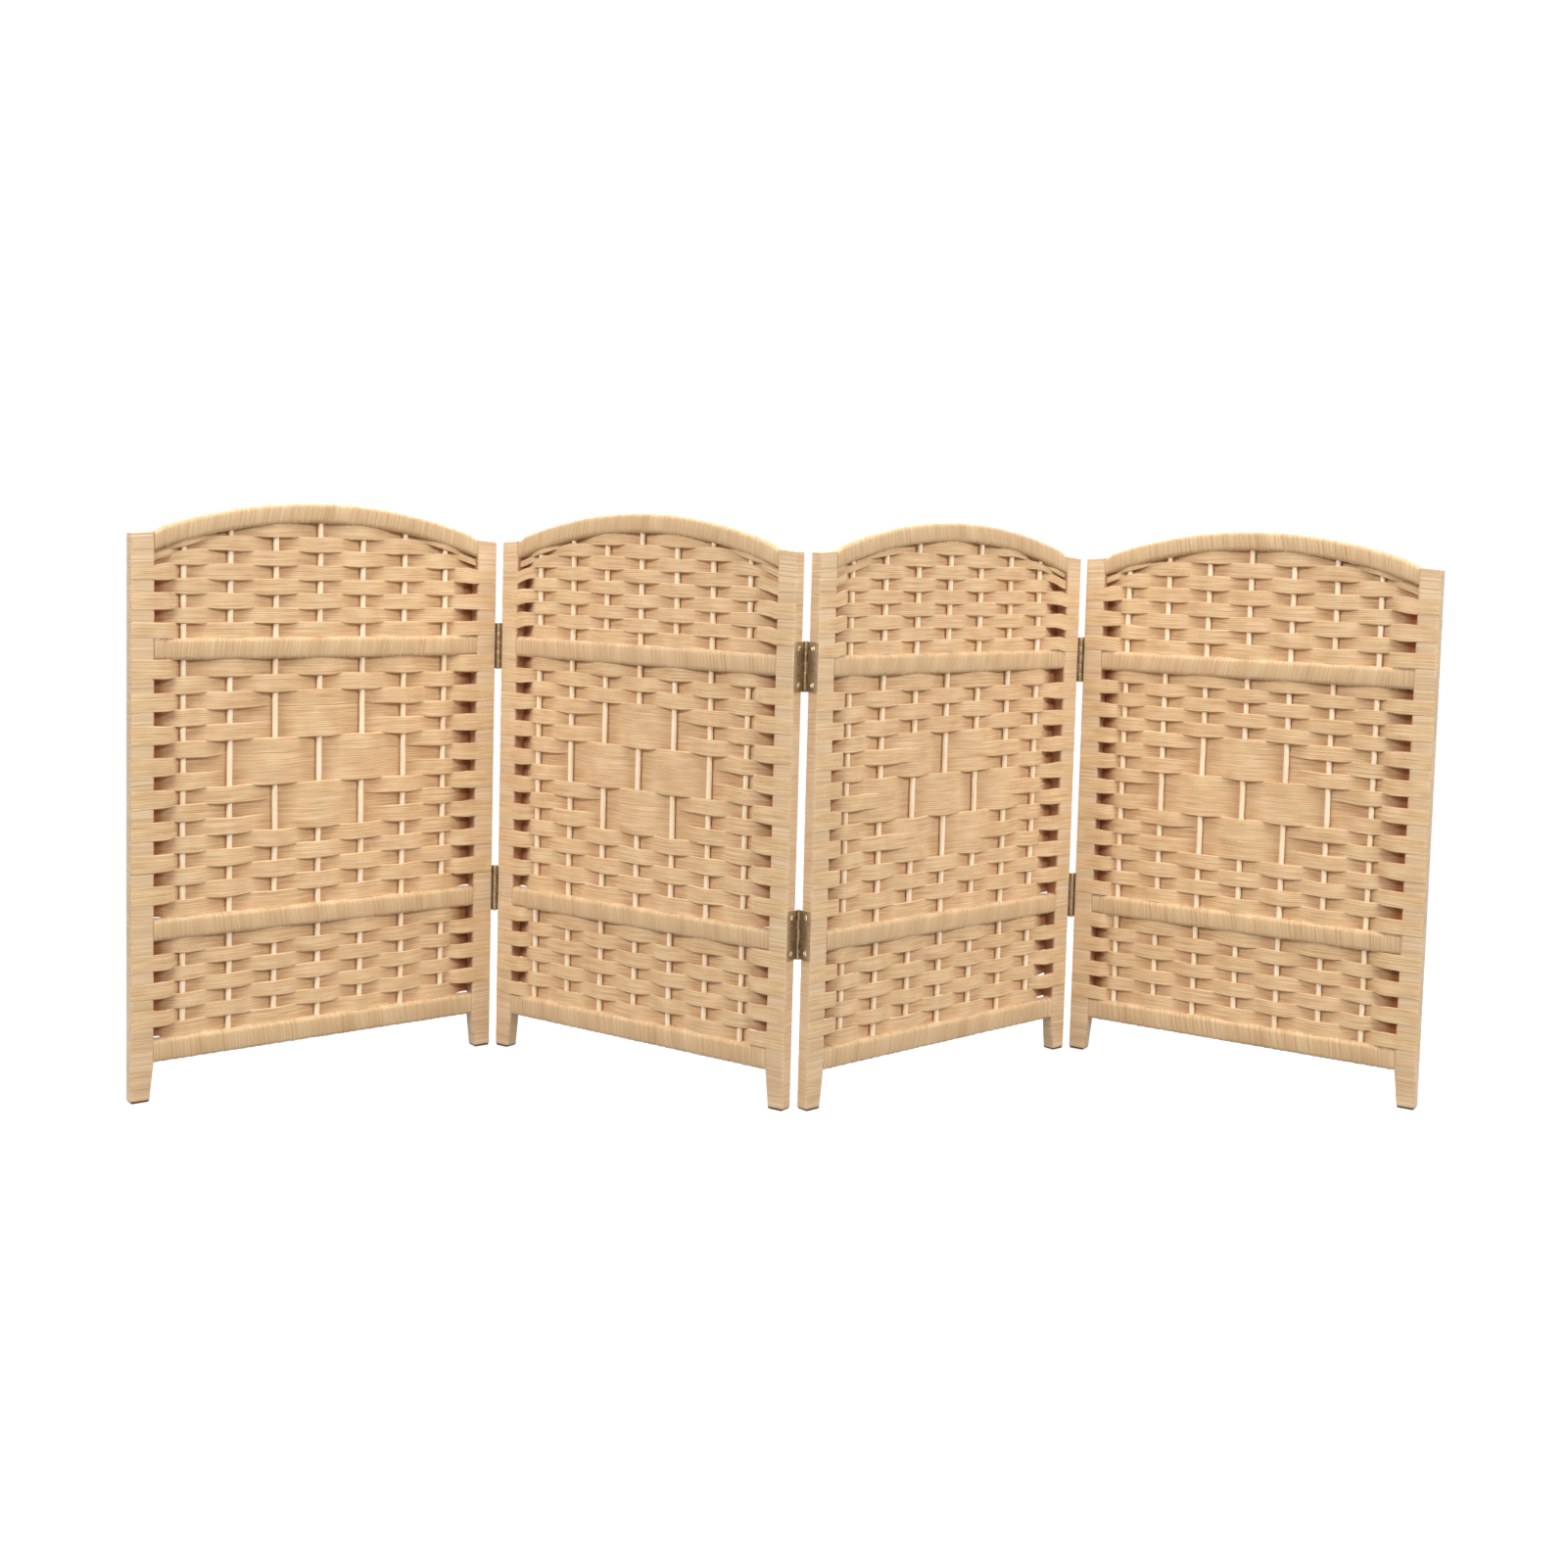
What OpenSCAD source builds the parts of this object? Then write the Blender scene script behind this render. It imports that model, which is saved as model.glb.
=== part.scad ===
// Low folding screen of four arched panels, joined by three pairs of hinges.
// Each panel is a wrapped timber frame that holds upright bamboo sticks, and flat bands of
// twisted paper are woven over and under the sticks.

/* [Panel] */
// Width of one panel
panel_w = 400; // [340:5:480]
// Height of the arch's outline where it would meet the outer edges of a panel
corner_h = 568; // [540:1:640]
// Rise of the arched top above that height
arch_rise = 40; // [24:1:50]
// Depth of a panel, wrapping included
panel_t = 16; // [15:0.5:22]

/* [Folding] */
// Angle between the first two panels, on their front side
fold_1 = 108.3; // [60:0.1:150]
// Angle between the middle panels, on their back side
fold_2 = 105.2; // [60:0.1:150]
// Angle between the last two panels, on their front side
fold_3 = 106.6; // [60:0.1:150]

/* [Stiles] */
// Width of a stile seen from the front
stile_w = 24; // [20:0.5:30]
// Height of the flat top of a stile above the ends of the arch's outline
stile_rise = 4; // [0:0.5:8]
// Width of a foot where it meets the floor
foot_w = 20; // [16:0.5:24]
// Radius of the long edges of a wrapped stile
edge_r = 3; // [2:0.25:3.5]
// Thickness of the paper wrapping on a stile
wrap_t = 1; // [0.6:0.1:1.4]
// Clearance between a stile and its wrapping
wrap_gap = 0.1; // [0.05:0.05:0.2]
// Bare wood that shows below the wrapping of a foot
bare_foot = 2; // [1:0.5:6]
// Chamfer round the bottom of a foot
foot_chamfer = 1; // [0.5:0.25:1.5]

/* [Rails] */
// Depth of a rail, wrapping included
rail_t = 15; // [13:0.5:15]
// Radius that rounds the edges of a rail
rail_r = 4; // [3:0.5:7]
// Height of the bottom rail
bottom_rail_h = 24.5; // [18:0.5:26]
// Height of the two middle rails
rail_h = 23; // [16:0.5:24]
// Height of the arched rail, measured along its radius
arch_rail_h = 21.5; // [16:0.5:24]
// Height of the underside of the bottom rail above the floor
bottom_rail_z = 38; // [26:1:50]
// Height of the underside of the lower middle rail
lower_rail_z = 162; // [140:0.5:180]
// Height of the underside of the upper middle rail
upper_rail_z = 445; // [420:0.5:450]

/* [Sticks] */
// Number of upright sticks in a panel
stick_n = 7; // [5:2:9]
// Diameter of a stick
stick_d = 5.8; // [4:0.1:6.5]
// Distance from the edge of a panel to its first stick, with the sticks in the middle
stick_inset = 57; // [50:0.5:60]
// How far the sticks of each panel stand to the left of the middle
stick_shift = [3, 4.5, 6.5, 5.5]; // [0:0.5:8]
// Depth that a stick enters the bottom rail and the arched rail
stick_seat = 9; // [6:0.5:12]
// Clearance round a stick in the holes of the rails
stick_fit = 0.1; // [0.05:0.05:0.2]

/* [Weave] */
// Thickness of a woven band
band_t = 1.5; // [1:0.1:1.8]
// Clearance between a band and the stick that it passes
band_gap = 0.1; // [0.05:0.05:0.3]
// Clearance between a band and the rails above and below it
rail_gap = 0.3; // [0.1:0.1:0.6]
// Growth of a band above and below where it lies over a stick
band_swell = 1.5; // [0.5:0.1:2]
// Half the slit between two bands where they cross between sticks
band_slit = 0.6; // [0.3:0.1:1.5]
// Clearance between neighbouring bands that pass a stick on the same side
band_seam = 0.2; // [0.1:0.05:0.4]
// Height to which the top band is squeezed beside the arch
top_band_h = 3.5; // [3.2:0.1:6]
// Growth of each band below it, until they have their full height
band_growth = 1.9; // [1:0.1:3]
// Bands in the upper field of each panel
upper_rows = [8, 9, 9, 8]; // [6:1:10]
// Bands in the middle field of each panel
middle_rows = [16, 17, 17, 18]; // [15:1:20]
// Bands in the lower field of each panel
lower_rows = [7, 7, 7, 7]; // [5:1:9]
// First band of the diamond, counted down the middle field of each panel
diamond_row = [4, 5, 6, 7]; // [2:1:8]

/* [Hinges] */
// Height of a hinge leaf
leaf_h = 51; // [46:1:70]
// Thickness of a hinge leaf
leaf_t = 0.8; // [0.6:0.1:1]
// Margin between the far edge of a leaf and the far face of the stile
leaf_margin = 1.5; // [0.5:0.25:3]
// Diameter of the knuckles
knuckle_d = 3.4; // [3.2:0.1:4.6]
// Number of knuckles in a hinge
knuckle_n = 5; // [3:2:7]
// Clearance between knuckles and round them
knuckle_gap = 0.3; // [0.2:0.05:0.5]
// Diameter of a hinge pin
pin_d = 1.6; // [1.2:0.1:1.8]
// Running clearance of a pin, on its radius
pin_fit = 0.05; // [0.02:0.01:0.1]
// Diameter of the head of a pin
pin_head_d = 3.2; // [2.4:0.1:3.4]
// Height of the head of a pin
pin_head_h = 1.5; // [1:0.25:3]
// Height of the middle of the lower hinges above the floor
lower_hinge_z = 181; // [150:1:220]
// Height of the middle of the upper hinges above the floor
upper_hinge_z = 456; // [380:1:500]

/* [Screws] */
// Diameter of a screw's shank
screw_d = 3; // [2:0.1:3.5]
// Length of a screw
screw_l = 12; // [8:0.5:16]
// Diameter of a screw's head
screw_head_d = 5.6; // [5:0.1:6]
// Clearance round a screw in its holes
screw_fit = 0.05; // [0.02:0.01:0.1]
// Distance from the end of a leaf to its nearest screw
screw_inset = 7; // [6:0.5:12]

/* [Hidden] */
$fn = 48;

// Room for cutters that pass through what they cut
over = 1;
// Least radius of a rounded edge
min_r = 0.5;

// Names of the pieces of one panel and of one hinge line
PANEL_PIECES = [
    "left_stile", "right_stile", "stile_wraps", "top_arch", "upper_rail", "lower_rail",
    "bottom_rail", "sticks", "upper_weave", "middle_weave", "lower_weave"
];
HINGE_PIECES = ["left_leaves", "right_leaves", "pins", "left_screws", "right_screws"];
function panel_node(i, piece) = str("panel_", i + 1, "_", piece);
function hinge_node(k, piece) = str("hinge_", k + 1, "_", piece);

// Hinge axes: half the slit between two panels, and how far the axis stands off the face
knuckle_r = knuckle_d / 2;
half_slit = knuckle_r;
axis_off = knuckle_r;
hinge_z = [lower_hinge_z, upper_hinge_z];

// The first and last hinge lines lie on the front face, the middle one on the back face
axis_side = [-1, 1, -1];
function axis_depth(k) = axis_side[k] < 0 ? -axis_off : panel_t + axis_off;

// Headings of the panels in plan, about a mean of zero
turns = [fold_1 - 180, 180 - fold_2, fold_3 - 180];
raw_headings = [0, turns[0], turns[0] + turns[1], turns[0] + turns[1] + turns[2]];
mean_heading = (raw_headings[0] + raw_headings[1] + raw_headings[2] + raw_headings[3]) / 4;
headings = [for (h = raw_headings) h - mean_heading];

// A point of a panel, u along its width and v from front to back, turned to its heading
function turned(i, u, v) = [
    u * cos(headings[i]) - v * sin(headings[i]),
    u * sin(headings[i]) + v * cos(headings[i])
];
// Where the front left edge of each panel stands, with the first at zero
function raw_start(i) =
    i == 0 ? [0, 0]
    : raw_start(i - 1) + turned(i - 1, panel_w + half_slit, axis_depth(i - 1))
        - turned(i, -half_slit, axis_depth(i - 1));
raw_starts = [for (i = [0:3]) raw_start(i)];
corners = [
    for (i = [0:3]) for (u = [0, panel_w]) for (v = [0, panel_t]) raw_starts[i] + turned(i, u, v)
];
middle = [for (axis = [0, 1])
    (min([for (c = corners) c[axis]]) + max([for (c = corners) c[axis]])) / 2];
starts = [for (s = raw_starts) s - middle];

module in_panel(i) {
    translate([starts[i][0], starts[i][1], 0]) rotate([0, 0, headings[i]]) children();
}

// The arch is part of a circle through the two corners and the crown
arch_r = (pow(panel_w / 2, 2) + pow(arch_rise, 2)) / (2 * arch_rise);
arch_z = corner_h + arch_rise - arch_r;
function arch_height(u, r) = arch_z + sqrt(r * r - pow(u - panel_w / 2, 2));

module rounded_rect(w, h, r) {
    translate([r, 0]) square([w - 2 * r, h]);
    translate([0, r]) square([w, h - 2 * r]);
    for (x = [r, w - r]) for (y = [r, h - r]) translate([x, y]) circle(r = r);
}

// The left stile, set in from its outer faces, with a foot that tapers up to the bottom rail
stile_h = corner_h + stile_rise;
module stile_form(inset, chamfer) {
    intersection() {
        translate([inset, inset, 0]) linear_extrude(stile_h)
            rounded_rect(stile_w - 2 * inset, panel_t - 2 * inset, max(edge_r - inset, min_r));
        translate([0, panel_t + over, 0]) rotate([90, 0, 0]) linear_extrude(panel_t + 2 * over)
            polygon([
                [inset + chamfer, 0],
                [foot_w - inset - chamfer, 0],
                [foot_w - inset, chamfer],
                [stile_w - inset, bottom_rail_z],
                [stile_w - inset, stile_h - inset],
                [inset, stile_h - inset],
                [inset, chamfer]
            ]);
    }
}

module mirrored_if(right) {
    if (right) translate([panel_w, 0, 0]) mirror([1, 0, 0]) children();
    else children();
}

// The hinge line at one edge of a panel, or -1 at the two outer edges of the screen
function edge_hinge(i, right) = right ? (i < 3 ? i : -1) : i - 1;

// Puts children where a screw enters the left edge of a panel, pointing inward along +X
screw_y = panel_t / 2;
module at_screws() {
    for (z = hinge_z) for (dz = [-1, 1])
        translate([0, screw_y, z + dz * (leaf_h / 2 - screw_inset)]) rotate([0, 90, 0]) children();
}

module screw_holes(i, right) {
    if (edge_hinge(i, right) >= 0)
        at_screws() translate([0, 0, -over])
            cylinder(d = screw_d + 2 * screw_fit, h = screw_l + over);
}

module stile(i, right) {
    color([0.42, 0.27, 0.16]) in_panel(i) mirrored_if(right) difference() {
        stile_form(wrap_t + wrap_gap, foot_chamfer);
        screw_holes(i, right);
    }
}

module stile_wrap(i, right) {
    mirrored_if(right) difference() {
        intersection() {
            stile_form(0, 0);
            translate([-over, -over, bare_foot])
                cube([stile_w + 2 * over, panel_t + 2 * over, stile_h]);
        }
        stile_form(wrap_t, 0);
        screw_holes(i, right);
    }
}

module stile_wraps(i) {
    color([0.86, 0.72, 0.53]) in_panel(i) for (right = [false, true]) stile_wrap(i, right);
}

// Sticks, spaced evenly, and in most panels a little nearer to the left stile
stick_pitch = (panel_w - 2 * stick_inset) / (stick_n - 1);
stick_y = panel_t / 2;
function stick_u(i, s) = stick_inset - stick_shift[i] + s * stick_pitch;
stick_foot = bottom_rail_z + bottom_rail_h - stick_seat;
arch_inner_r = arch_r - arch_rail_h;
function stick_top(i, s) = arch_height(stick_u(i, s), arch_inner_r) + stick_seat;

module stick_holes(i, z0, above) {
    for (s = [0 : stick_n - 1]) translate([stick_u(i, s), stick_y, z0])
        cylinder(d = stick_d + 2 * stick_fit, h = stick_top(i, s) + above - z0);
}

module sticks(i) {
    color([0.93, 0.85, 0.68]) in_panel(i)
        for (s = [0 : stick_n - 1]) translate([stick_u(i, s), stick_y, stick_foot])
            cylinder(d = stick_d, h = stick_top(i, s) - stick_foot);
}

// Section of a rail, with its depth along X and its height along Y
module rail_section(h) {
    rounded_rect(rail_t, h, min(rail_r, h / 2 - min_r, rail_t / 2 - min_r));
}

module straight_rail(z, h) {
    translate([stile_w, (panel_t - rail_t) / 2, z]) rotate([90, 0, 90])
        linear_extrude(panel_w - 2 * stile_w) rail_section(h);
}

module bottom_rail(i) {
    color([0.87, 0.72, 0.52]) in_panel(i) difference() {
        straight_rail(bottom_rail_z, bottom_rail_h);
        stick_holes(i, stick_foot, over);
    }
}

module middle_rail(i, z) {
    color([0.87, 0.72, 0.52]) in_panel(i) difference() {
        straight_rail(z, rail_h);
        stick_holes(i, z - over, over);
    }
}

arch_half_angle = asin((panel_w / 2) / arch_r) + 2;
module top_arch(i) {
    color([0.87, 0.72, 0.52]) in_panel(i) difference() {
        intersection() {
            translate([panel_w / 2, (panel_t + rail_t) / 2, arch_z]) rotate([90, 0, 0])
                rotate([0, 0, 90 - arch_half_angle])
                    rotate_extrude(angle = 2 * arch_half_angle, $fn = 200)
                        translate([arch_inner_r, 0]) rotate([0, 0, 90]) mirror([0, 1])
                            rail_section(arch_rail_h);
            translate([stile_w, -over, 0])
                cube([panel_w - 2 * stile_w, panel_t + 2 * over, corner_h + arch_rise + over]);
        }
        stick_holes(i, upper_rail_z, stick_fit);
    }
}

// Posts that a band passes: the left stile, the sticks and the right stile
function posts(i) = concat(
    [stile_w], [for (s = [0 : stick_n - 1]) stick_u(i, s)], [panel_w - stile_w]
);
post_n = stick_n + 2;
stick_mid = (stick_n + 1) / 2;

// Fields from the top down, and which bands of each panel start behind the first stick
UPPER = 0;
MIDDLE = 1;
LOWER = 2;
rows = [upper_rows, middle_rows, lower_rows];
starts_behind = [[0, 1, 0, 0], [1, 1, 1, 0], [1, 0, 1, 0]];
panel_is_turned = [false, false, true, false];

// The diamond is drawn by three bands, three apart, that skip sticks about the middle one
diamond_step = 3;
function from_mid(s) = abs(s - stick_mid);
function diamond_side(i, r, s) =
    let (down = rows[MIDDLE][i] + 1 - r - diamond_row[i])
    let (ends = down == 0 || down == 2 * diamond_step)
    let (shows = from_mid(s) % 3 == (ends ? 0 : 1))
    (shows != panel_is_turned[i]) ? 1 : -1;
function in_diamond(field, i, r) =
    let (down = rows[field][i] + 1 - r - diamond_row[i])
    field == MIDDLE && (down == 0 || down == diamond_step || down == 2 * diamond_step);

// Side of a post that a band passes: 1 in front, -1 behind. Bands count up from the bottom.
function stick_side(field, i, r, s) =
    in_diamond(field, i, r) ? diamond_side(i, r, s)
    : (r + s + starts_behind[field][i]) % 2 == 0 ? -1 : 1;
function side(field, i, r, post) =
    post == 0 ? -stick_side(field, i, r, 1)
    : post == post_n - 1 ? -stick_side(field, i, r, stick_n)
    : stick_side(field, i, r, post);

// A band bends at each post and at two places on its way to the next, given as [post, way]
band_sway = stick_d / 2 + band_gap + band_t / 2;
bend = 0.3;
bends = [for (p = [0 : post_n - 2]) for (way = [0, bend, 1 - bend]) [p, way]];
stations = concat(bends, [[post_n - 2, 1]]);
function station_u(i, st) = posts(i)[st[0]] * (1 - st[1]) + posts(i)[st[0] + 1] * st[1];
function station_v(field, i, r, st) =
    let (a = side(field, i, r, st[0]), b = side(field, i, r, st[0] + 1))
    panel_t / 2 - band_sway * ((a + b) / 2 + (a - b) / 2 * cos(180 * st[1]));

// Bounds of the fields, and the line between band r and the next one up
field_floor = [upper_rail_z + rail_h, lower_rail_z + rail_h, bottom_rail_z + bottom_rail_h];
function field_ceiling(field, u) =
    field == UPPER ? arch_height(u, arch_inner_r)
    : field == MIDDLE ? upper_rail_z : lower_rail_z;

// Height of the top k bands together where they are squeezed most, beside a stile
function squeezed(k, pitch) =
    k == 0 ? 0 : squeezed(k - 1, pitch) + min(pitch, top_band_h + band_growth * (k - 1));
function row_line(field, i, r, u) =
    let (n = rows[field][i])
    let (crown = field_ceiling(field, panel_w / 2) - field_floor[field])
    let (shoulder = field_ceiling(field, stile_w) - field_floor[field])
    let (pitch = crown / n)
    let (tight = min(1, shoulder / squeezed(n, pitch)))
    min(field_floor[field] + pitch * r, field_ceiling(field, u) - tight * squeezed(n - r, pitch));

// How far a band reaches over that line: bands on opposite sides of a post overlap in height
function post_reach(field, i, r, post) =
    side(field, i, r, post) != side(field, i, r + 1, post) ? band_swell : -band_seam / 2;
function reach(field, i, r, st) =
    let (here = post_reach(field, i, r, st[0]), next = post_reach(field, i, r, st[0] + 1))
    r == 0 || r == rows[field][i] ? -rail_gap
    : st[1] == 0 ? here
    : st[1] == 1 ? next
    : here < 0 && next < 0 ? -band_seam / 2
    : -band_slit;

module band_plan(field, i, r) {
    path = [for (st = stations) [station_u(i, st), station_v(field, i, r, st)]];
    half = [0, band_t / 2];
    polygon(concat(
        [for (p = path) p - half],
        [for (j = [len(path) - 1 : -1 : 0]) path[j] + half]
    ));
}

module band_front(field, i, r) {
    count = len(stations);
    polygon(concat(
        [for (st = stations) let (u = station_u(i, st))
            [u, row_line(field, i, r - 1, u) - reach(field, i, r - 1, st)]],
        [for (j = [count - 1 : -1 : 0]) let (st = stations[j], u = station_u(i, st))
            [u, row_line(field, i, r, u) + reach(field, i, r, st)]]
    ));
}

module band(field, i, r) {
    intersection() {
        linear_extrude(corner_h + arch_rise) band_plan(field, i, r);
        translate([0, panel_t + over, 0]) rotate([90, 0, 0])
            linear_extrude(panel_t + 2 * over) band_front(field, i, r);
    }
}

module weave(i, field) {
    color([0.88, 0.74, 0.54]) in_panel(i) for (r = [1 : rows[field][i]]) band(field, i, r);
}

// Hinges are drawn about their axis, with the timber of the left panel at x below -half_slit
leaf_far = axis_off + panel_t - leaf_margin;
knuckle_l = (leaf_h - (knuckle_n - 1) * knuckle_gap) / knuckle_n;
function knuckle_z(j) = -leaf_h / 2 + j * (knuckle_l + knuckle_gap);

module leaf(first_knuckle) {
    clear_r = knuckle_r + knuckle_gap;
    other = 1 - first_knuckle;
    difference() {
        union() {
            translate([-half_slit, 0, -leaf_h / 2]) cube([leaf_t, leaf_far, leaf_h]);
            translate([0, 0, -leaf_h / 2]) cylinder(r = knuckle_r, h = leaf_h);
        }
        // Room for the knuckles of the other leaf
        for (j = [other : 2 : knuckle_n - 1]) {
            low = j == 0 ? -leaf_h / 2 - over : knuckle_z(j) - knuckle_gap;
            high = j == knuckle_n - 1 ? leaf_h / 2 + over : knuckle_z(j) + knuckle_l + knuckle_gap;
            translate([-clear_r, -clear_r, low]) cube([2 * clear_r, 2 * clear_r, high - low]);
        }
        translate([0, 0, -leaf_h / 2 - over])
            cylinder(d = pin_d + 2 * pin_fit, h = leaf_h + 2 * over);
    }
}

module in_hinge(k) {
    in_panel(k) translate([panel_w + half_slit, axis_depth(k), 0])
        mirror([0, axis_side[k] > 0 ? 1 : 0, 0]) children();
}

module in_next_hinge(k) {
    in_panel(k + 1) translate([-half_slit, axis_depth(k), 0])
        mirror([0, axis_side[k] > 0 ? 1 : 0, 0]) children();
}

// A screw with its head up at zero, sunk flush in the leaf, and its tip up along +Z
tip_l = 3;
tip_d = 1;
module screw_form(grow) {
    cylinder(d1 = screw_head_d + 2 * grow, d2 = screw_d + 2 * grow, h = leaf_t);
    cylinder(d = screw_d + 2 * grow, h = screw_l - tip_l);
    translate([0, 0, screw_l - tip_l])
        cylinder(d1 = screw_d + 2 * grow, d2 = tip_d, h = tip_l);
}

// Puts children at the screws of a leaf, which enter the left panel along -X
module at_leaf_screws() {
    for (dz = [-1, 1])
        translate([leaf_t - half_slit, axis_off + screw_y, dz * (leaf_h / 2 - screw_inset)])
            rotate([0, -90, 0]) children();
}

module hinge_leaves(first_knuckle) {
    for (z = hinge_z) translate([0, 0, z]) difference() {
        leaf(first_knuckle);
        at_leaf_screws() screw_form(screw_fit);
    }
}

module left_leaves(k) {
    color([0.62, 0.48, 0.30]) in_hinge(k) hinge_leaves(0);
}

module right_leaves(k) {
    color([0.62, 0.48, 0.30]) in_next_hinge(k) mirror([1, 0, 0]) hinge_leaves(1);
}

module pins(k) {
    color([0.80, 0.70, 0.50]) in_hinge(k) for (z = hinge_z) translate([0, 0, z]) {
        translate([0, 0, -leaf_h / 2 - pin_head_h / 2]) {
            cylinder(d = pin_d, h = leaf_h + pin_head_h / 2 + over);
            cylinder(d = pin_head_d, h = pin_head_h / 2 - knuckle_gap);
        }
        translate([0, 0, leaf_h / 2]) cylinder(d = pin_head_d, h = pin_head_h);
    }
}

module hinge_screws() {
    for (z = hinge_z) translate([0, 0, z]) at_leaf_screws() screw_form(0);
}

module left_screws(k) {
    color([0.85, 0.78, 0.62]) in_hinge(k) hinge_screws();
}

module right_screws(k) {
    color([0.85, 0.78, 0.62]) in_next_hinge(k) mirror([1, 0, 0]) hinge_screws();
}

for (i = [0:3]) {
    stile(i, false);
    stile(i, true);
    stile_wraps(i);
    top_arch(i);
    middle_rail(i, upper_rail_z);
    middle_rail(i, lower_rail_z);
    bottom_rail(i);
    sticks(i);
    weave(i, UPPER);
    weave(i, MIDDLE);
    weave(i, LOWER);
}
for (k = [0:2]) {
    left_leaves(k);
    right_leaves(k);
    pins(k);
    left_screws(k);
    right_screws(k);
}
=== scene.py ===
import math
import random

import bmesh
import bpy
from mathutils import Matrix, Vector


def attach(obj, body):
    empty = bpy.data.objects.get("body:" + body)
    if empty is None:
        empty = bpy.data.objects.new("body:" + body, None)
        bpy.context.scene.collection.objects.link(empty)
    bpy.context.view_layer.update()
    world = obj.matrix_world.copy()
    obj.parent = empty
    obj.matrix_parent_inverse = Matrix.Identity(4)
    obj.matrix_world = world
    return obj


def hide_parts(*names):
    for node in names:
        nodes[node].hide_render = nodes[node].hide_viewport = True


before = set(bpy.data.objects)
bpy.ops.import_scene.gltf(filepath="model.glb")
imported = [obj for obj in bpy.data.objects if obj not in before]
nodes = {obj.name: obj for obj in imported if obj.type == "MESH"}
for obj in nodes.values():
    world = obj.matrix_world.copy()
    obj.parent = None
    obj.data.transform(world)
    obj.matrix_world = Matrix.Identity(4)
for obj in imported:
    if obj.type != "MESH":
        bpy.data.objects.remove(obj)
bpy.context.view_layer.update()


# Studio. The screen stands on a pale floor that fades to white, under a soft sky and four
# soft lamps, two in front of it, one above and one behind, and the camera stands where the
# photograph was taken.
bpy.context.scene.view_settings.view_transform = "Standard"

camera_place = (-0.09345, -1.93337, 0.57890)
turn, tilt, lean = math.radians(-4.4616), math.radians(-3.9778), math.radians(1.6506)
camera_data = bpy.data.cameras.new("camera")
camera_data.sensor_width = 36
camera_data.lens = 41.323
camera_data.shift_x = -0.04176
camera_data.shift_y = -0.07174
camera = bpy.data.objects.new("camera", camera_data)
camera.matrix_world = (
    Matrix.Translation(camera_place)
    @ Matrix.Rotation(turn, 4, "Z")
    @ Matrix.Rotation(math.pi / 2 + tilt, 4, "X")
    @ Matrix.Rotation(lean, 4, "Z")
)
bpy.context.scene.collection.objects.link(camera)
bpy.context.scene.camera = camera


def add_node(tree, kind, sockets=None, **settings):
    """A node with its settings, and a value or a link for each input socket that is named."""
    node = tree.nodes.new(kind)
    for name, value in settings.items():
        setattr(node, name, value)
    for name, value in (sockets or {}).items():
        if isinstance(value, bpy.types.NodeSocket):
            tree.links.new(value, node.inputs[name])
        else:
            node.inputs[name].default_value = value
    return node


screen_middle = Vector((0, 0, 0.3))


def soft_lamp(name, place, width, depth, power):
    """A wide lamp that faces the screen, in metres and watts."""
    lamp_data = bpy.data.lights.new(name, "AREA")
    lamp_data.shape = "RECTANGLE"
    lamp_data.size, lamp_data.size_y = width, depth
    lamp_data.energy = power
    lamp = bpy.data.objects.new(name, lamp_data)
    facing = (screen_middle - Vector(place)).to_track_quat("-Z", "Y")
    lamp.matrix_world = Matrix.Translation(place) @ facing.to_matrix().to_4x4()
    bpy.context.scene.collection.objects.link(lamp)


soft_lamp("left_lamp", (-1.8, -1.8, 1.8), width=1.7, depth=0.6, power=49)
soft_lamp("right_lamp", (1.8, -1.8, 1.8), width=1.7, depth=0.6, power=52)
soft_lamp("lamp_above", (0, -0.15, 2.6), width=2.6, depth=0.9, power=44)
soft_lamp("lamp_behind", (0, 2.2, 2.0), width=3.0, depth=0.7, power=80)


def seen_by_rays(tree, *kinds):
    """1 for the rays from the camera and for the other kinds that are named, and 0 for light."""
    rays = add_node(tree, "ShaderNodeLightPath").outputs
    seen = rays["Is Camera Ray"]
    for kind in kinds:
        seen = add_node(
            tree, "ShaderNodeMath", {0: seen, 1: rays[kind]}, operation="MAXIMUM",
        ).outputs[0]
    return seen


# The world gives plain light, more from above, and is white to the camera and in reflections
sky_below, sky_above = 0.1, 0.38
surround = bpy.data.worlds.new("surround")
surround.use_nodes = True
surround_tree = surround.node_tree
surround_tree.nodes.clear()
direction = add_node(surround_tree, "ShaderNodeTexCoord")
rise = add_node(surround_tree, "ShaderNodeSeparateXYZ", {0: direction.outputs["Generated"]})
light = add_node(
    surround_tree, "ShaderNodeMapRange",
    {
        "Value": rise.outputs["Z"], "From Min": -0.3, "From Max": 0.9,
        "To Min": sky_below, "To Max": sky_above,
    },
)
seen = seen_by_rays(surround_tree, "Is Glossy Ray", "Is Transmission Ray")
level = add_node(
    surround_tree, "ShaderNodeMapRange",
    {"Value": seen, "To Min": light.outputs["Result"], "To Max": 1.0},
)
sky = add_node(
    surround_tree, "ShaderNodeBackground",
    {"Color": (1, 1, 1, 1), "Strength": level.outputs["Result"]},
)
add_node(surround_tree, "ShaderNodeOutputWorld", {"Surface": sky.outputs[0]})
bpy.context.scene.world = surround

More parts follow.
